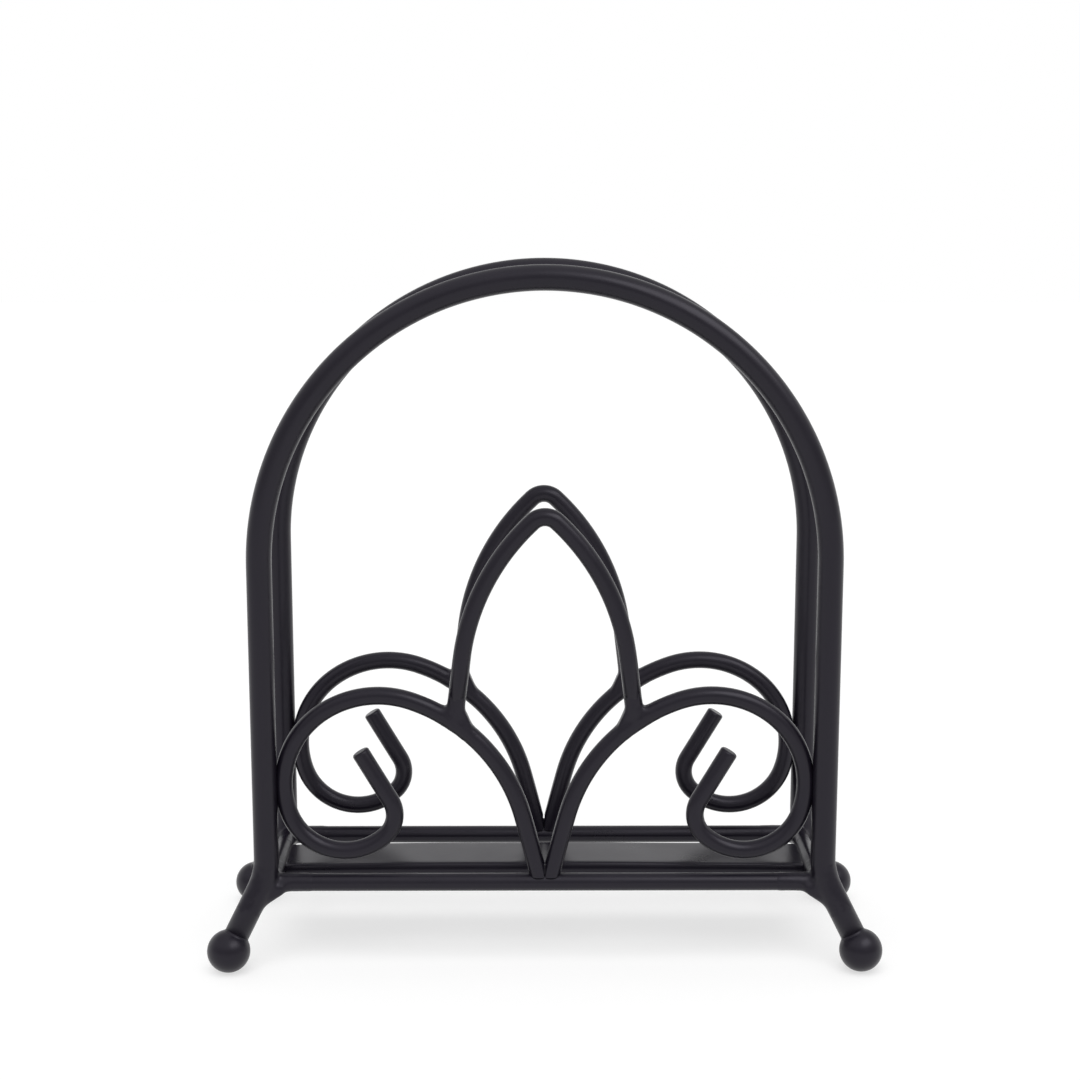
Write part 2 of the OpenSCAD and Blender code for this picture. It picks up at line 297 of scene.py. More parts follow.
# %% Bend the base frame
FRAME_WIRE = 5 * MM
FRAME_HEIGHT = 23.5 * MM
RAIL_PLANE = 20.5 * MM
FRAME_CORNER = 4 * MM
_, frame_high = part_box("base_frame")
side_rail = frame_high.x - FRAME_WIRE / 2
corner_x = side_rail - FRAME_CORNER
corner_y = RAIL_PLANE - FRAME_CORNER

rectangle = Wire((-corner_x, -RAIL_PLANE, FRAME_HEIGHT), X, FRAME_WIRE)
for length in (2 * corner_x, 2 * corner_y, 2 * corner_x, 2 * corner_y):
    rectangle.run(length).bend(Z, FRAME_CORNER, QUARTER_TURN)
base_frame = to_object("base_frame_wire", rectangle.bm)
hang(base_frame, "coated_wire", "base_frame")
print("side rails at", round(side_rail / MM, 2), "mm")

# %% [markdown]
# ## The tray
# The napkins stand on a tray of 1 mm sheet, folded down along all its edges. A box without its lower face
# has the outside shape. Its long folds spring back a little after the press and stay open, so they lean
# out. Bevelling the edges gives the bends, and solidify gives the sheet its thickness on the inside.

# %% Fold the tray
TRAY_SHEET = 1 * MM
FOLD_RADIUS = 0.8 * MM
FOLD_OPEN = math.radians(14)
tray_low, tray_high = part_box("base_tray")
tray_size = tray_high - tray_low


def block(centre, size):
    bm = bmesh.new()
    place = Matrix.Translation(centre) @ Matrix.Diagonal((*size, 1))
    bmesh.ops.create_cube(bm, size=1, matrix=place)
    return bm


tray = block((tray_low + tray_high) / 2, tray_size)
bottom = min(tray.faces, key=lambda face: face.calc_center_median().z)
for vert in bottom.verts:
    vert.co.y += math.copysign(tray_size.z * math.tan(FOLD_OPEN), vert.co.y)
bmesh.ops.delete(tray, geom=[bottom], context="FACES_ONLY")
round_edges(tray, [edge for edge in tray.edges if not edge.is_boundary], FOLD_RADIUS)
bmesh.ops.recalc_face_normals(tray, faces=tray.faces)
bmesh.ops.solidify(tray, geom=tray.faces, thickness=TRAY_SHEET)
print("tray of", in_mm(tray_size), "mm")

# %% [markdown]
# Thin sheet never stays dead flat. Welded at its ends, it bows up a little and keeps shallow waves, which
# show in its reflections. A bump in the finish could fake the waves, but not the bow. So the long faces are
# subdivided, and each point is lifted by a rule that leaves the ends where they are.

# %% Let the sheet bow
TRAY_BOW = 0.6 * MM
TRAY_WAVE = 0.12 * MM
WAVE_SIZE = 26 * MM
LENGTH_CUTS = 60
DEPTH_CUTS = 10
LENGTHWISE, DEPTHWISE = 0, 1

for axis, cuts in ((LENGTHWISE, LENGTH_CUTS), (DEPTHWISE, DEPTH_CUTS)):
    half = tray_size[axis] / 2
    spans = [edge for edge in tray.edges if abs(edge.verts[0].co[axis] - edge.verts[1].co[axis]) > half]
    bmesh.ops.subdivide_edges(tray, edges=spans, cuts=cuts, use_grid_fill=True)
for vert in tray.verts:
    free = max(1 - (vert.co.x / tray_high.x) ** 2, 0)
    wave = noise.noise(Vector((vert.co.x, vert.co.y, 0)) / WAVE_SIZE)
    vert.co.z += free * (TRAY_BOW + TRAY_WAVE * wave)
base_tray = to_object("base_tray_sheet", tray)
hang(base_tray, "coated_sheet", "base_tray")

# %% [markdown]
# ## The scrolls
# Two mirrored scrolls fill the lower half of each panel. Each is one 5 mm wire that rises from the rail,
# turns over the crown, touches the upright, runs round under itself and ends in a straight tail. Its bends
# follow one rule, a row of headings and radii, so a loop over that row can drive the bench. A heading is the
# direction of the wire in degrees, turned clockwise from straight up. The radii are shares of one scale,
# worked out so that the scroll just touches the upright where it runs straight down.

# %% Work out the scrolls
SCROLL_WIRE = 5 * MM
SCROLL_HEADINGS = [13.5, 15.2, 71, 127, 199, 314, 390.5]
SCROLL_RADIUS_SHARES = [8.56, 0.683, 0.388, 0.352, 0.231, 0.115]
SCROLL_MEET = 3 * MM
WELD_SINK = 0.6 * MM
OUTER_ARC = 3
HEADING_DOWN = 180
scroll_arcs = list(zip(SCROLL_RADIUS_SHARES, SCROLL_HEADINGS, SCROLL_HEADINGS[1:]))


def step_share(share, start, stop):
    """How far an arc moves sideways between two headings, as a share of the scale."""
    return share * (math.cos(math.radians(start)) - math.cos(math.radians(stop)))


foot_lean = math.radians(SCROLL_HEADINGS[0])
scroll_x = SCROLL_WIRE / 2 / math.cos(foot_lean) - (SCROLL_MEET + WELD_SINK) * math.tan(foot_lean)
scroll_z = FRAME_HEIGHT + FRAME_WIRE / 2 - WELD_SINK
scroll_start = Vector((scroll_x, -RAIL_PLANE, scroll_z))
side_reach = HOOP_ROD / 2 + SCROLL_WIRE / 2 - WELD_SINK
scroll_side = HOOP_HALF - math.sqrt(side_reach ** 2 - (HOOP_PLANE - RAIL_PLANE) ** 2)
scroll_scale = (scroll_side - scroll_x) / sum(
    step_share(share, start, min(stop, HEADING_DOWN))
    for share, start, stop in scroll_arcs[:OUTER_ARC + 1])
print("scroll radii", in_mm(scroll_scale * share for share in SCROLL_RADIUS_SHARES), "mm")

# %% [markdown]
# The feet of two scrolls lean together. The wire starts a little too long, and bisect_plane works as the
# saw: one cut is level, over the rail, and one is upright, where the two feet are mitred against each other.
# A cut leaves a face with many sides, square to X or Z. Its edges are marked sharp, so that it looks flat.

# %% Bend and saw the scrolls
SCROLL_TAIL_SHARE = 0.231
TAIL_ROUNDING = 0.7 * MM
FOOT_SPARE = 1.5 * MM
FOOT_GAP = 0.4 * MM
CUT_SIDES = 8
SQUARE = 0.999


def heading_way(heading):
    return Vector((math.sin(math.radians(heading)), 0, math.cos(math.radians(heading))))


def saw(bm, point, waste):
    made = bmesh.ops.bisect_plane(bm, geom=everything(bm), plane_co=point, plane_no=waste, clear_outer=True)
    close_end(bm, edges_of(made["geom_cut"]))


def keep_cuts_sharp(bm):
    bm.normal_update()
    for face in bm.faces:
        if len(face.verts) > CUT_SIDES and max(abs(face.normal.x), abs(face.normal.z)) > SQUARE:
            for edge in face.edges:
                edge.smooth = False


def bend_scroll():
    foot_way = heading_way(SCROLL_HEADINGS[0])
    wire = Wire(scroll_start - FOOT_SPARE * foot_way, foot_way, SCROLL_WIRE).run(FOOT_SPARE)
    for share, start, stop in scroll_arcs:
        wire.bend(Y, scroll_scale * share, math.radians(stop - start))
    bm = wire.run(scroll_scale * SCROLL_TAIL_SHARE).cut(end_rounding=TAIL_ROUNDING)
    saw(bm, scroll_start, -Z)
    saw(bm, FOOT_GAP / 2 * X, -X)
    keep_cuts_sharp(bm)
    return bm


for end_name, end in ENDS.items():
    for side_name, side in SIDES.items():
        scroll = to_object(f"{end_name}_{side_name}_scroll_wire", mirrored(bend_scroll(), side, end))
        hang(scroll, "coated_wire", f"{end_name}_{side_name}_scroll")

# %% [markdown]
# ## The lancets
# A lancet is a pointed arch that stands on the two scrolls of its panel. Its tip is a tight bend, its
# flanks are large arcs that run on from the tip without a kink, and its legs are straight. The radius of
# the flank follows from these three, so it is worked out and not chosen.

# %% Work out the lancets
LANCET_WIRE = 5 * MM
LANCET_HEIGHT = 130.2 * MM
LANCET_TIP = 5 * MM
LANCET_LEG = 18 * MM
LANCET_LEAN = 7
LANCET_LANDING = 55
LANDING_ARC = 1
HEADING_RIGHT = 90


def scroll_point(heading, arc):
    """The middle of the wire where this arc of the scroll has this heading."""
    point = scroll_start.copy()
    last_share, last_start, _ = scroll_arcs[arc]
    for share, start, stop in [*scroll_arcs[:arc], (last_share, last_start, heading)]:
        a, b = math.radians(start), math.radians(stop)
        point += scroll_scale * share * Vector((math.cos(a) - math.cos(b), 0, math.sin(b) - math.sin(a)))
    return point


landing = scroll_point(LANCET_LANDING, LANDING_ARC)
leg_up = heading_way(-LANCET_LEAN)
tip_centre = Vector((0, -RAIL_PLANE, LANCET_HEIGHT - LANCET_WIRE / 2 - LANCET_TIP))
flank_start = landing + LANCET_LEG * leg_up
flank_normal = heading_way(HEADING_RIGHT - LANCET_LEAN)
flank_gap = flank_start - tip_centre
flank_reach = 2 * (flank_normal.dot(flank_gap) - LANCET_TIP)
flank_radius = (flank_gap.dot(flank_gap) - LANCET_TIP ** 2) / flank_reach
flank_centre = flank_start - flank_radius * flank_normal
tip_turn = math.atan2(tip_centre.x - flank_centre.x, tip_centre.z - flank_centre.z)
flank_turn = math.radians(HEADING_RIGHT - LANCET_LEAN) - tip_turn
print("flank radius", round(flank_radius / MM, 1), "mm, legs land at", in_mm(landing), "mm")

# %% [markdown]
# A lancet is bent from its tip down to one leg and mirrored, as a hoop is. The two arcs share a tangent, so
# the ring runs on from one into the other.

# %% Bend the lancets
def bend_lancet():
    wire = Wire(tip_centre + LANCET_TIP * Z, X, LANCET_WIRE)
    wire.bend(Y, LANCET_TIP, tip_turn)
    wire.bend(Y, flank_radius, flank_turn)
    wire.run(LANCET_LEG)
    return wire.cut_and_mirror()


for end_name, end in ENDS.items():
    lancet = to_object(f"{end_name}_lancet_wire", mirrored(bend_lancet(), RIGHT, end))
    hang(lancet, "coated_wire", f"{end_name}_lancet")

# %% [markdown]
# ## Weld metal
# Molten steel draws together in the notch between two rods and freezes as a hollow fillet. No operator
# makes that skin between two round rods, so it is made in the way it forms: short, slightly swollen copies
# of the rods are fused by a voxel remesh, and rounds of smoothing let the skin shrink. On the rods it sinks
# just under their surface and is hidden. In the notch it stays out, as a fillet.

# %% Swell and join the copies
VOXEL = 0.25 * MM
SMOOTHING = 0.5
GRID_NEIGHBOURS = 4
FLOW_PER_ROUND = SMOOTHING * VOXEL ** 2 / GRID_NEIGHBOURS
HIDDEN_BY = 0.04 * MM


def swollen(diameter, rounds):
    """The diameter that these rounds of smoothing shrink to just under the given one."""
    radius = diameter / 2 - HIDDEN_BY
    return 2 * math.sqrt(radius ** 2 + 2 * rounds * FLOW_PER_ROUND)


def join(shapes):
    joined = bmesh.new()
    for shape in shapes:
        bmesh.ops.recalc_face_normals(shape, faces=shape.faces)
        copy = bpy.data.meshes.new("copy")
        shape.to_mesh(copy)
        shape.free()
        joined.from_mesh(copy)
        bpy.data.meshes.remove(copy)
    return joined


print("a weld's skin ends", HIDDEN_BY / MM, "mm under the rods")

# %% [markdown]
# The remesh modifier fuses the joined copies into one skin of small squares. It works on an object, so a
# blank one is made for it and thrown away afterwards. Each round of smooth_vert then draws every point
# towards its neighbours, which pulls bulges in and fills hollows, as surface tension does.

# %% Melt shapes into one skin
def fuse(mesh):
    blank = add_object("rough", mesh)
    skin = blank.modifiers.new("skin", "REMESH")
    skin.mode = "VOXEL"
    skin.voxel_size = VOXEL
    fused = bpy.data.meshes.new_from_object(blank.evaluated_get(bpy.context.evaluated_depsgraph_get()))
    bpy.data.objects.remove(blank)
    bpy.data.meshes.remove(mesh)
    return fused


def melt(shapes, rounds):
    rough = bpy.data.meshes.new("rough")
    joined = join(shapes)
    joined.to_mesh(rough)
    joined.free()
    fused = fuse(rough)
    soft = bmesh.new()
    soft.from_mesh(fused)
    bpy.data.meshes.remove(fused)
    for _ in range(rounds):
        bmesh.ops.smooth_vert(soft, verts=soft.verts, factor=SMOOTHING,
                              use_axis_x=True, use_axis_y=True, use_axis_z=True)
    return soft


print("voxels of", VOXEL / MM, "mm")

# %% [markdown]
# The same weld is found at several corners. One is melted, and its copies are mirrored to their places. A
# little noise, pushed along the normals and mostly inwards, keeps each weld its own.

# %% Copy a weld to its corners
RIPPLE = 0.05 * MM
RIPPLE_SIZE = 1.6 * MM
RIPPLE_SINK = 0.5
FOUR_CORNERS = [(side, end) for end in ENDS.values() for side in SIDES.values()]
TWO_ENDS = [(RIGHT, end) for end in ENDS.values()]


def rippled(bm):
    bmesh.ops.recalc_face_normals(bm, faces=bm.faces)
    for vert in bm.verts:
        vert.co += vert.normal * RIPPLE * (noise.noise(vert.co / RIPPLE_SIZE) - RIPPLE_SINK)
    return bm


def weld_group(name, node, soft, corners):
    copies = [rippled(mirrored(soft.copy(), side, end)) for side, end in corners]
    soft.free()
    hang(to_object(name, join(copies)), "coated_weld", node)


print("ripples of", RIPPLE / MM, "mm")

# %% [markdown]
# The lancet's leg stands on the scroll at a slant. The welder fills the wide corner, on the inside, and
# leaves only a little metal in the narrow one. So the copies are a stretch of the scroll, the lower end of
# the leg and two wedges of filler between them. The metal stands a hair proud of the rods at the joint and
# runs out along them, so no crease is left on the front.

# %% Weld the lancets to the scrolls
LANCET_ROUNDS = 40
LANCET_PROUD = 0.16 * MM
WELD_STRETCH = 10 * MM
WIDE_THROAT = 1.3 * MM
NARROW_THROAT = 0.2 * MM
WEDGE_WIDTH = 4 * MM


def scroll_stretch(heading, arc, stretch, diameter):
    radius = scroll_scale * SCROLL_RADIUS_SHARES[arc]
    half = math.degrees(stretch / radius)
    wire = Wire(scroll_point(heading - half, arc), heading_way(heading - half), diameter)
    return wire.bend(Y, radius, math.radians(2 * half)).cut()


def plate(corners, width):
    bm = bmesh.new()
    face = bm.faces.new([bm.verts.new(corner - width / 2 * Y) for corner in corners])
    made = bmesh.ops.extrude_face_region(bm, geom=[face])["geom"]
    bmesh.ops.translate(bm, verts=verts_of(made), vec=width * Y)
    return bm


def lancet_wedge(along_scroll, throat):
    half = leg_up.angle(along_scroll) / 2
    arm = (SCROLL_WIRE / 2 / math.sin(half) + throat) / math.cos(half)
    return plate([landing, landing + arm * leg_up, landing + arm * along_scroll], WEDGE_WIDTH)


def stand_proud(soft, centre, reach, height):
    soft.normal_update()
    for vert in soft.verts:
        share = max(1 - ((vert.co - centre).length / reach) ** 2, 0) ** 2
        vert.co += vert.normal * height * share


lancet_weld = melt([
    scroll_stretch(LANCET_LANDING, LANDING_ARC, WELD_STRETCH, swollen(SCROLL_WIRE, LANCET_ROUNDS)),
    Wire(landing, leg_up, swollen(LANCET_WIRE, LANCET_ROUNDS)).run(WELD_STRETCH).cut(),
    lancet_wedge(-heading_way(LANCET_LANDING), WIDE_THROAT),
    lancet_wedge(heading_way(LANCET_LANDING), NARROW_THROAT),
], LANCET_ROUNDS)
stand_proud(lancet_weld, landing, WELD_STRETCH, LANCET_PROUD)
weld_group("lancet_weld_fillets", "lancet_welds", lancet_weld, FOUR_CORNERS)

# %% [markdown]
# The mitred feet of a panel's two scrolls stand on the rail, with their cut ends showing. Their weld lies
# deep in the narrow slot between them, so it is a small block of filler, sunk behind the front of the
# wires, with its edges melted round. Most of the block is inside the wires, and only its middle shows.

# %% Weld the scroll feet
FOOT_ROUNDS = 6
FOOT_FILL = 2.8 * MM
FOOT_FILL_DEPTH = 1.2 * MM
FOOT_FILL_WIDTH = 2.4 * MM

fill_centre = Vector((0, -RAIL_PLANE, scroll_z + FOOT_FILL / 2))
fill_size = Vector((FOOT_FILL_WIDTH, FOOT_FILL_DEPTH, FOOT_FILL + WELD_SINK))
foot_weld = melt([block(fill_centre, fill_size)], FOOT_ROUNDS)
weld_group("scroll_foot_fillets", "scroll_foot_welds", foot_weld, TWO_ENDS)

# %% [markdown]
# At each corner the frame's bend touches the leg, and a web of weld metal fills the corner below. The web
# starts as a plain plate between rail and leg. Fused with both rods and smoothed, its lower edge sags into
# the hollow line that a welder leaves there.

# %% Weld the corners of the frame
CORNER_ROUNDS = 110
CORNER_STRETCH = 9 * MM
WEB_DEPTH = 4.4 * MM
WEB_WIDTH = 3 * MM


def leg_shift(height):
    """How far the leg has moved out at this height: above the knee, in its bend or below it."""
    drop = knee_top - height
    if drop <= 0:
        return 0
    if drop <= KNEE_RADIUS * math.sin(knee_bend):
        return KNEE_RADIUS - math.sqrt(KNEE_RADIUS ** 2 - drop ** 2)
    return (KNEE_HEIGHT - height) * math.tan(knee_bend)


def leg_point(height):
    return Vector((HOOP_HALF, -HOOP_PLANE, height)) + leg_shift(height) * leg_out.normalized()


def corner_plate():
    web_low = FRAME_HEIGHT - FRAME_WIRE / 2 - WEB_DEPTH
    depth = leg_point(FRAME_HEIGHT).y
    outline = [
        (corner_x, FRAME_HEIGHT),
        (leg_point(FRAME_HEIGHT).x, FRAME_HEIGHT),
        (leg_point(web_low).x, web_low),
        (leg_point(web_low).x - HOOP_ROD / 2, web_low),
        (corner_x, FRAME_HEIGHT - FRAME_WIRE / 2),
    ]
    return plate([Vector((x, depth, z)) for x, z in outline], WEB_WIDTH)


def corner_leg():
    wire = Wire((HOOP_HALF, -HOOP_PLANE, knee_top), -Z, swollen(HOOP_ROD, CORNER_ROUNDS))
    return wire.bend(knee_axis, KNEE_RADIUS, knee_bend).run(CORNER_STRETCH).cut()


def corner_wire():
    start = (corner_x - CORNER_STRETCH, -RAIL_PLANE, FRAME_HEIGHT)
    wire = Wire(start, X, swollen(FRAME_WIRE, CORNER_ROUNDS))
    return wire.run(CORNER_STRETCH).bend(Z, FRAME_CORNER, QUARTER_TURN).run(CORNER_STRETCH).cut()


corner_weld = melt([corner_leg(), corner_wire(), corner_plate()], CORNER_ROUNDS)
weld_group("corner_weld_webs", "corner_welds", corner_weld, FOUR_CORNERS)

# %% [markdown]
# Beads and tacks are rows of small frozen puddles. Each puddle is a little ball, the balls overlap, and the
# melt joins them into one bead with soft ripples. A bead lies in the notch between scroll and upright, at a
# known distance from both. A tack lies in the corner between the tray and the side rail.

# %% Lay the beads and tacks
BEAD_ROUNDS = 6
BEAD_RADIUS = 1 * MM
BEAD_STEP = 0.9 * MM
BEAD_LENGTH = 8 * MM
TACK_LENGTH = 4 * MM
PUDDLE_DETAIL = 3
bead_hold = BEAD_RADIUS - WELD_SINK


def puddle(centre):
    bm = bmesh.new()
    place = Matrix.Translation(centre)
    bmesh.ops.create_icosphere(bm, subdivisions=PUDDLE_DETAIL, radius=BEAD_RADIUS, matrix=place)
    return bm


def bead(centre, along, length):
    count = math.floor((length - 2 * BEAD_RADIUS) / BEAD_STEP) + 1
    steps = [BEAD_STEP * (i - (count - 1) / 2) for i in range(count)]
    return melt([puddle(centre + along * step) for step in steps], BEAD_ROUNDS)


def notch(a, a_reach, b, b_reach):
    """The point on the level of a and b that has these distances from them."""
    gap = (b - a).length
    step = (a_reach ** 2 - b_reach ** 2 + gap ** 2) / (2 * gap)
    way = (b - a) / gap
    return a + step * way + math.sqrt(a_reach ** 2 - step ** 2) * Vector((-way.y, way.x, 0))


side_point = scroll_point(HEADING_DOWN, OUTER_ARC)
side_bead = notch(
    Vector((scroll_side, -RAIL_PLANE, side_point.z)), SCROLL_WIRE / 2 + bead_hold,
    Vector((HOOP_HALF, -HOOP_PLANE, side_point.z)), HOOP_ROD / 2 + bead_hold)
weld_group("scroll_side_beads", "scroll_side_welds", bead(side_bead, Z, BEAD_LENGTH), FOUR_CORNERS)

tack_x = tray_high.x + bead_hold
tack_drop = math.sqrt((FRAME_WIRE / 2 + bead_hold) ** 2 - (side_rail - tack_x) ** 2)
tack = Vector((tack_x, tray_low.y / 2, FRAME_HEIGHT - tack_drop))
weld_group("tray_end_tacks", "tray_welds", bead(tack, Y, TACK_LENGTH), FOUR_CORNERS)

# %% [markdown]
# Where a leg enters its ball, a thin collar of weld metal rounds off the crease. Its section is a hollow
# arc that leaves the rod and lands on the ball, and a spin round the leg's axis makes the ring.

# %% Turn the collars on the balls
COLLAR_RADIUS = 0.8 * MM
COLLAR_STEPS = 8
COLLAR_SINK = 0.3 * MM


def turn_collar():
    reach = HOOP_ROD / 2 + COLLAR_RADIUS
    rise = math.sqrt((BALL_RADIUS + COLLAR_RADIUS) ** 2 - reach ** 2)
    swing = math.atan2(rise, reach)
    out = leg_axis.cross(leg_side).normalized()
    centre = ball_centre + out * reach - leg_axis * rise
    bm = bmesh.new()
    first = bm.verts.new(centre - out * COLLAR_RADIUS)
    made = bmesh.ops.spin(bm, geom=[first], cent=centre, axis=leg_side, angle=-swing, steps=COLLAR_STEPS)
    last = verts_of(made["geom_last"])[0]
    inner = bm.verts.new(first.co - out * COLLAR_SINK)
    lower = bm.verts.new(last.co + (ball_centre - last.co).normalized() * COLLAR_SINK)
    for pair in ((first, inner), (inner, lower), (lower, last)):
        bm.edges.new(pair)
    return turn_round_leg(bm)


collars = join([mirrored(turn_collar(), side, end) for side, end in FOUR_CORNERS])
hang(to_object("ball_weld_collars", collars), "coated_weld", "ball_welds")

# %% [markdown]
# ## Powder coat
# Powder melts into a thin plastic skin: dark, a little cool, satin, with a faint orange peel and slow drifts
# in gloss where it flowed. All pieces share that skin, so it is one node group. It reads Object coordinates
# in metres, and puts out a colour, a roughness and a height. A group with named sockets can be placed in
# each finish with its own values.

# %% Name the sockets of the powder coat group
COLOUR, VALUE = "NodeSocketColor", "NodeSocketFloat"
COAT_SOCKETS = (
    ("INPUT", COLOUR, ("Light tone", "Dark tone")),
    ("INPUT", VALUE, ("Peel scale", "Drift scale", "Satin", "Matt")),
    ("OUTPUT", COLOUR, ("Color",)),
    ("OUTPUT", VALUE, ("Roughness", "Height")),
)
coat = bpy.data.node_groups.new("powder_coat_skin", "ShaderNodeTree")
for in_out, kind, names in COAT_SOCKETS:
    for name in names:
        coat.interface.new_socket(name=name, in_out=in_out, socket_type=kind)
print("the group has", len(coat.interface.items_tree), "sockets")

# %% [markdown]
# Every node tree takes the same three moves: add a node, preset some of its inputs, and connect sockets. As
# helpers they keep the trees below short enough to read.

# %% Helpers for node trees
def add(tree, kind, **settings):
    node = tree.nodes.new(kind)
    for name, value in settings.items():
        setattr(node, name, value)
    return node


def preset(node, values):
    for name, value in values.items():
        node.inputs[name].default_value = value


def connect(tree, links):
    for source, target in links:
        tree.links.new(source, target)


print("nodes can be added, preset and connected")

# %% [markdown]
# Inside the group, a fine noise is the peel and a slow one is the drift. The drift mixes the two tones, and
# it moves the roughness between satin and matt. Noise stays near its middle, so its range is stretched.

# %% Fill the powder coat group
PEEL_DETAIL = 1.5
DRIFT_DETAIL = 3.0
DRIFT_LOW, DRIFT_HIGH = 0.3, 0.7

given = add(coat, "NodeGroupInput").outputs
result = add(coat, "NodeGroupOutput").inputs
spot = add(coat, "ShaderNodeTexCoord").outputs["Object"]
peel = add(coat, "ShaderNodeTexNoise")
drift = add(coat, "ShaderNodeTexNoise")
tone = add(coat, "ShaderNodeMix", data_type="RGBA")
gloss = add(coat, "ShaderNodeMapRange")
preset(peel, {"Detail": PEEL_DETAIL})
preset(drift, {"Detail": DRIFT_DETAIL})
preset(gloss, {"From Min": DRIFT_LOW, "From Max": DRIFT_HIGH})
connect(coat, (
    (spot, peel.inputs["Vector"]),
    (spot, drift.inputs["Vector"]),
    (given["Peel scale"], peel.inputs["Scale"]),
    (given["Drift scale"], drift.inputs["Scale"]),
    (drift.outputs["Fac"], tone.inputs["Factor"]),
    (given["Dark tone"], tone.inputs["A"]),
    (given["Light tone"], tone.inputs["B"]),
    (drift.outputs["Fac"], gloss.inputs["Value"]),
    (given["Satin"], gloss.inputs["To Min"]),
    (given["Matt"], gloss.inputs["To Max"]),
    (tone.outputs["Result"], result["Color"]),
    (gloss.outputs["Result"], result["Roughness"]),
    (peel.outputs["Fac"], result["Height"]),
))
print("the group has", len(coat.nodes), "nodes")

# %% [markdown]
# ## One finish for each kind of steel
# The coat lies differently on each kind of steel: long drifts on the sheet, short ones on balls and welds,
# and a rougher, deeper peel on weld metal. One material could serve all, but then rod and weld would look
# alike. So a function places the group in a new material, and each kind of steel gives its own sizes.

# %% Place the coat in a material
SPECULAR = 0.34
COOL = (0.93, 0.9, 1)
DARK = (0.0065, 0.0052, 0.0098)
LIGHT = (0.0105, 0.0086, 0.0147)


def powder_coat(name, satin, matt, peel_size, drift_size, peel_depth):
    material = bpy.data.materials.new(name)
    material.use_nodes = True
    tree = material.node_tree
    shader = tree.nodes["Principled BSDF"]
    skin = add(tree, "ShaderNodeGroup", node_tree=coat)
    bump = add(tree, "ShaderNodeBump")
    preset(shader, {"Specular IOR Level": SPECULAR, "Specular Tint": (*COOL, 1)})
    preset(skin, {"Dark tone": (*DARK, 1), "Light tone": (*LIGHT, 1), "Satin": satin, "Matt": matt,
                  "Peel scale": 1 / peel_size, "Drift scale": 1 / drift_size})
    preset(bump, {"Strength": 1, "Distance": peel_depth})
    connect(tree, (
        (skin.outputs["Color"], shader.inputs["Base Color"]),
        (skin.outputs["Roughness"], shader.inputs["Roughness"]),
        (skin.outputs["Height"], bump.inputs["Height"]),
        (bump.outputs["Normal"], shader.inputs["Normal"]),
    ))
    return material


print("specular level", SPECULAR)

# %% [markdown]
# Satin and matt are the least and the greatest roughness of a finish. The peel is about a millimetre wide
# and a hundredth of one deep, and the drift is as long as the melted powder could run.

# %% Make the finishes
finishes = {
    "coated_rod": powder_coat(
        "coated_rod_finish", satin=0.28, matt=0.37,
        peel_size=0.9 * MM, drift_size=14 * MM, peel_depth=0.006 * MM),
    "coated_ball": powder_coat(
        "coated_ball_finish", satin=0.28, matt=0.37,
        peel_size=0.8 * MM, drift_size=6 * MM, peel_depth=0.006 * MM),
    "coated_wire": powder_coat(
        "coated_wire_finish", satin=0.27, matt=0.36,
        peel_size=0.8 * MM, drift_size=12 * MM, peel_depth=0.006 * MM),
    "coated_sheet": powder_coat(
        "coated_sheet_finish", satin=0.27, matt=0.35,
        peel_size=1.2 * MM, drift_size=18 * MM, peel_depth=0.01 * MM),
    "coated_weld": powder_coat(
        "coated_weld_finish", satin=0.28, matt=0.4,
        peel_size=0.6 * MM, drift_size=3 * MM, peel_depth=0.012 * MM),
}
for piece, slot in pieces:
    piece.data.materials.append(finishes[slot])
print(len(finishes), "finishes on", len(pieces), "pieces")

# %% [markdown]
# ## A white floor
# The holder stands on a pale floor that runs into a white backdrop. One large square does for the floor. It
# is marked as stage, because it isn't part of the holder.

# %% Lay the floor
FLOOR_SIZE = 6

square = bmesh.new()
bmesh.ops.create_grid(square, x_segments=1, y_segments=1, size=FLOOR_SIZE / 2)
floor = to_object("floor", square)
floor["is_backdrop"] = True
print("floor of", FLOOR_SIZE, "m")

# %% [markdown]
# More light would make the floor white, but it would wash out the holder too. So the floor takes less than
# half of its white from the light, and with it the shadow. The rest is its own glow, seen only by camera,
# mirror and see-through rays. A small lift keeps open floor fully white, and the shadow stays pale.

# %% Whiten the floor
FULL_WHITE = 1
FLOOR_WHITE = 0.42
FLOOR_LIFT = 0.05


def sees_white(tree):
    """One for camera, mirror and see-through rays, which show the white of the studio as it is."""
    path = add(tree, "ShaderNodeLightPath").outputs
    two = add(tree, "ShaderNodeMath", operation="MAXIMUM")
    three = add(tree, "ShaderNodeMath", operation="MAXIMUM")
    connect(tree, (
        (path["Is Camera Ray"], two.inputs[0]),
        (path["Is Glossy Ray"], two.inputs[1]),
        (two.outputs[0], three.inputs[0]),
        (path["Is Transmission Ray"], three.inputs[1]),
    ))
    return three.outputs[0]


white = bpy.data.materials.new("studio_floor")
white.use_nodes = True
tree = white.node_tree
tree.nodes.remove(tree.nodes["Principled BSDF"])
matt_white = add(tree, "ShaderNodeBsdfDiffuse")
preset(matt_white, {"Color": (FLOOR_WHITE, FLOOR_WHITE, FLOOR_WHITE, 1)})
glow = add(tree, "ShaderNodeEmission")
lift = add(tree, "ShaderNodeMath", operation="MULTIPLY")
lift.inputs[1].default_value = FULL_WHITE + FLOOR_LIFT - FLOOR_WHITE
both = add(tree, "ShaderNodeAddShader")
connect(tree, (
    (sees_white(tree), lift.inputs[0]),
    (lift.outputs[0], glow.inputs["Strength"]),
    (matt_white.outputs[0], both.inputs[0]),
    (glow.outputs[0], both.inputs[1]),
    (both.outputs[0], tree.nodes["Material Output"].inputs["Surface"]),
))
floor.data.materials.append(white)
print("the floor takes", FLOOR_WHITE, "of its white from the light")

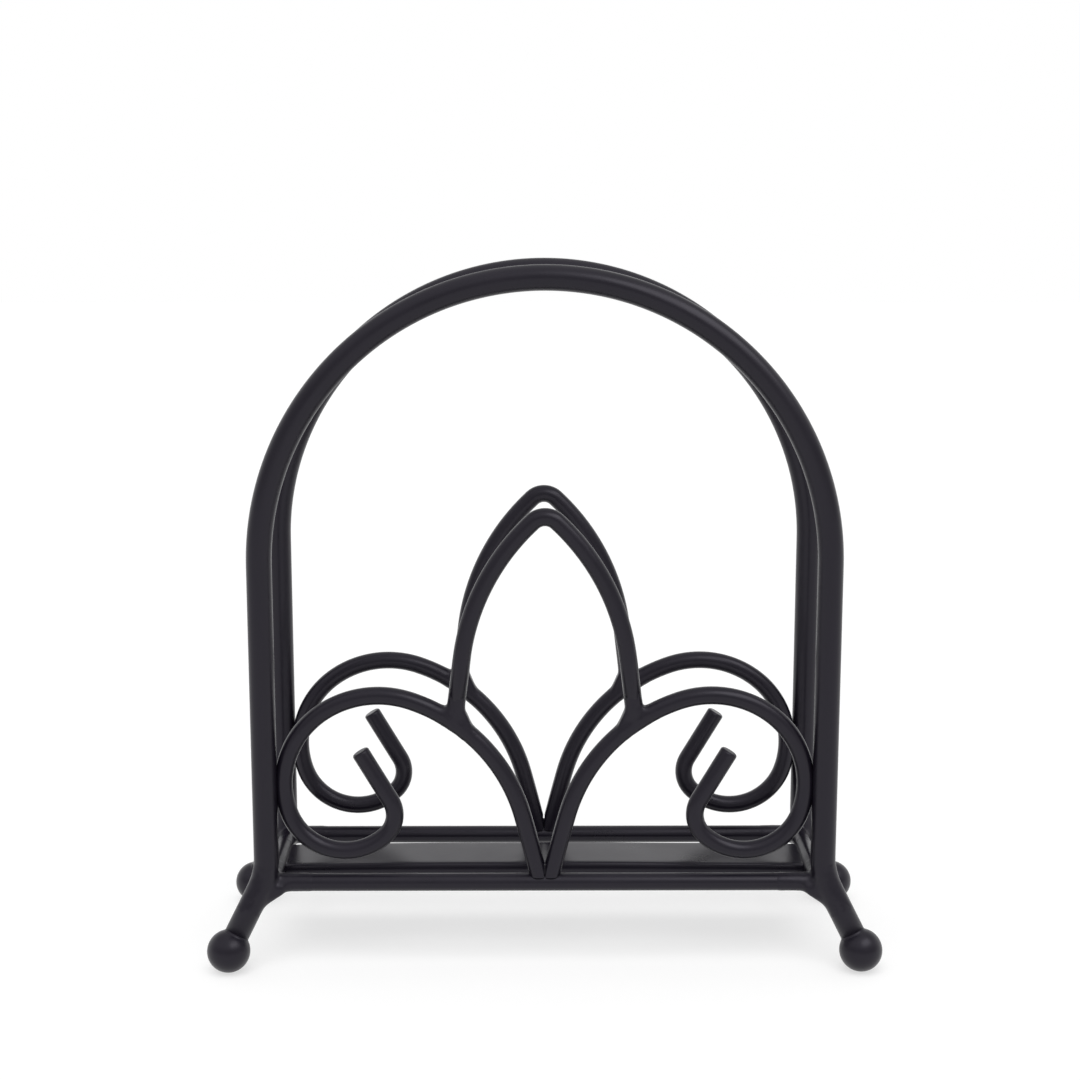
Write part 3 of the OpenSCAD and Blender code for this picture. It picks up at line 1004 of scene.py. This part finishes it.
# %% [markdown]
# ## The room around it
# A satin rod shows what it mirrors. The backdrop is white, and the room on the other side is dimmer, so a
# rod mirrors white along its edges and grey on its front, with a soft band where it mirrors the bright
# ceiling. Large panels could give that, but they would shade the floor. So the world does it. A ramp gives
# the brightness for each height of a direction, one ramp for the room and one for the backdrop.

# %% Ramps of brightness
ROOM_MIRROR = ((0, 0.54), (0.3, 0.57), (0.6, 0.95), (1, 0.9))
BACKDROP_MIRROR = ((0, 1), (0.36, 1), (0.6, 0.65), (0.8, 0.6), (1, 0.9))


def height_ramp(tree, height, stops):
    ramp = add(tree, "ShaderNodeValToRGB")
    elements = ramp.color_ramp.elements
    elements[0].position, elements[1].position = stops[0][0], stops[-1][0]
    for position, _ in stops[1:-1]:
        elements.new(position)
    for element, (_, level) in zip(elements, stops):
        element.color = (level, level, level, 1)
    tree.links.new(height, ramp.inputs["Fac"])
    return ramp.outputs["Color"]


print("ramps of", len(ROOM_MIRROR), "and", len(BACKDROP_MIRROR), "stops")

# %% [markdown]
# The two ramps are mixed by the side that a direction points to, with a soft edge between room and backdrop.
# Only mirror rays meet them. Other rays meet an even light, and the camera sees a backdrop of full white.

# %% Build the room
ROOM_LIGHT = 0.62
ROOM_EDGE = 0.35

world = bpy.data.worlds.new("studio")
bpy.context.scene.world = world
world.use_nodes = True
tree = world.node_tree
sky = tree.nodes["Background"]
way = add(tree, "ShaderNodeTexCoord").outputs["Generated"]
parts = add(tree, "ShaderNodeSeparateXYZ")
behind = add(tree, "ShaderNodeMapRange", interpolation_type="SMOOTHSTEP")
mirror = add(tree, "ShaderNodeMix", data_type="FLOAT")
path = add(tree, "ShaderNodeLightPath").outputs
lit = add(tree, "ShaderNodeMix", data_type="FLOAT")
seen = add(tree, "ShaderNodeMix", data_type="FLOAT")
preset(behind, {"From Min": -ROOM_EDGE, "From Max": ROOM_EDGE})
preset(lit, {"A": ROOM_LIGHT})
preset(seen, {"B": FULL_WHITE})
preset(sky, {"Color": (1, 1, 1, 1)})
connect(tree, (
    (way, parts.inputs[0]),
    (parts.outputs["Y"], behind.inputs["Value"]),
    (behind.outputs["Result"], mirror.inputs["Factor"]),
    (height_ramp(tree, parts.outputs["Z"], ROOM_MIRROR), mirror.inputs["A"]),
    (height_ramp(tree, parts.outputs["Z"], BACKDROP_MIRROR), mirror.inputs["B"]),
    (path["Is Glossy Ray"], lit.inputs["Factor"]),
    (mirror.outputs["Result"], lit.inputs["B"]),
    (path["Is Camera Ray"], seen.inputs["Factor"]),
    (lit.outputs["Result"], seen.inputs["A"]),
    (seen.outputs["Result"], sky.inputs["Strength"]),
))
print("the room lights with", ROOM_LIGHT)

# %% [markdown]
# ## Two lamps
# A wide lamp hangs overhead, a little to the front. It leaves a faint shadow under the tray, and it isn't
# mirrored, because the ceiling already is. Room and lamp add up to one on a level floor, so a colour renders
# about as it is written. A sun of strength pi lights a floor that faces it with one, and a tilt weakens it.
# A soft box stands close by, in front and to the right. It only gives the satin rods and balls their soft
# streaks: what it would add as light is already in the room and the lamp.

# %% Hang the lamps
LAMP_LIGHT = FULL_WHITE - ROOM_LIGHT
LAMP_ANGLE = math.radians(50)
LAMP_TILT = math.radians(25)
SOFTBOX_PLACE = Vector((280, -290, 500)) * MM
SOFTBOX_SIZE = (480 * MM, 300 * MM)
SOFTBOX_WATTS = 1.0
holder_middle = HOOP_HALF * Z

sun = bpy.data.lights.new("overhead_lamp", "SUN")
sun.angle = LAMP_ANGLE
sun.energy = LAMP_LIGHT * math.pi / math.cos(LAMP_TILT)
overhead = add_object("overhead_lamp", sun)
overhead.rotation_euler = (LAMP_TILT, 0, 0)
overhead.visible_glossy = False

area = bpy.data.lights.new("soft_box", "AREA")
area.shape = "RECTANGLE"
area.size, area.size_y = SOFTBOX_SIZE
area.energy = SOFTBOX_WATTS
soft_box = add_object("soft_box", area)
soft_box.location = SOFTBOX_PLACE
soft_box.rotation_euler = (holder_middle - SOFTBOX_PLACE).to_track_quat("-Z", "Y").to_euler()
soft_box.visible_diffuse = False
bpy.context.scene.view_settings.view_transform = "Standard"
print("studio lit by", overhead.name, "and mirrored from", soft_box.name)

# %% [markdown]
# ## The camera
# The camera looks slightly down on the front of the holder, from half a metre away. Its lens, tilt and
# place were found by matching the straight uprights, the two rails and the four balls.

# %% Place the camera
SENSOR_WIDTH = 36
LENS = 65.51
CAMERA_PLACE = Vector((-3.84, -547.75, 218.14)) * MM
CAMERA_DOWN = math.radians(10.4)
CAMERA_TURN = math.radians(-0.27)

camera = bpy.data.cameras.new("camera")
camera.sensor_width = SENSOR_WIDTH
camera.lens = LENS
viewer = add_object("camera", camera)
viewer.location = CAMERA_PLACE
viewer.rotation_euler = (QUARTER_TURN - CAMERA_DOWN, 0, CAMERA_TURN)
bpy.context.scene.camera = viewer
print("camera", round((CAMERA_PLACE - holder_middle).length, 3), "m from the holder")

# %% [markdown]
# ## The last look
# The finished pieces may not outgrow the imported model, so the boxes of both are written down and can be
# compared.

# %% Write down the finished box
bpy.context.view_layer.update()
visual_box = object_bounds()
print("visual box:", [in_mm(corner) for corner in visual_box], "mm")
